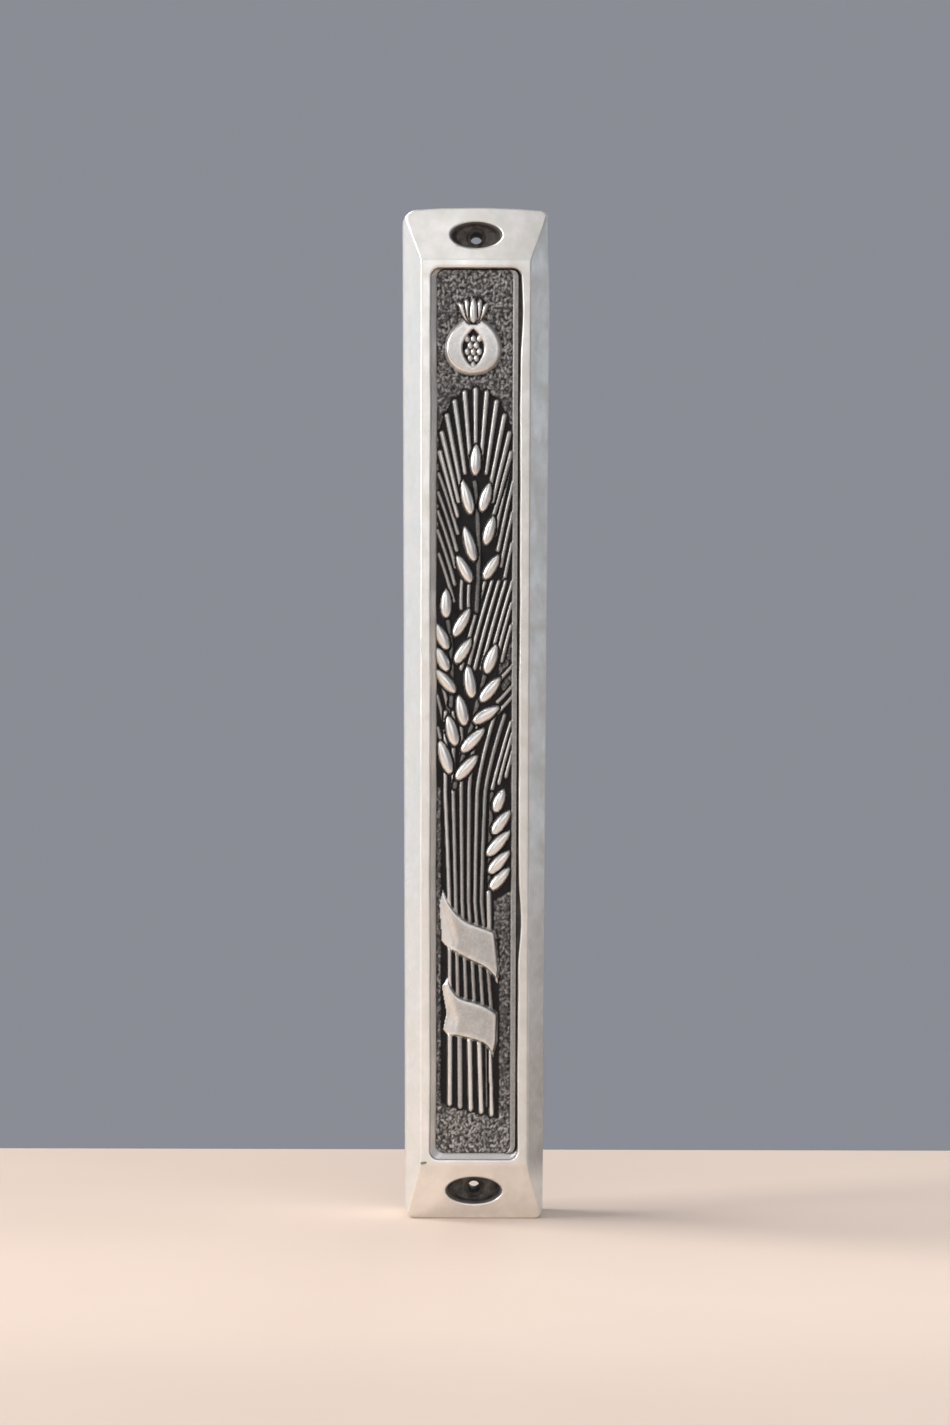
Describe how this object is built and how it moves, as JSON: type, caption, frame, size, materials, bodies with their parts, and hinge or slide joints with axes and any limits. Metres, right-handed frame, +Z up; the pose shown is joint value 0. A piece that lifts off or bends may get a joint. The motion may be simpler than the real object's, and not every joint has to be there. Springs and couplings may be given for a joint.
{
  "type": "mezuzah case",
  "caption": "Upright bevelled metal case with a wheat relief plaque, end screw holes and a sliding back cover over a chamber for a rolled parchment.",
  "frame": {"origin": "middle of the bottom end, at the centre of the case's width and depth", "axes": "+Z up the case, -Y out of the decorated front, +Y out of the flat back, +X to the right seen from the front"},
  "size_m": [0.022, 0.015, 0.15],
  "materials": {
    "case_metal": "satin cast pewter, lightly brushed",
    "plaque_metal": "antiqued cast pewter, dark in the hollows and polished on the high points",
    "cover_plastic": "fine matt moulded",
    "parchment": "dry scraped hide",
    "clear_film": "clear thin film"
  },
  "bodies": {
    "case": {"case_body": "case_metal", "relief_plaque": "plaque_metal", "parchment_scroll": "parchment", "scroll_sleeve": "clear_film"},
    "cover": {"back_cover": "cover_plastic"}
  },
  "joints": [
    {"name": "cover_slide", "type": "slide", "parent": "case", "child": "cover", "axis": [0, 0, 1], "range_m": [0, 0.14]}
  ]
}
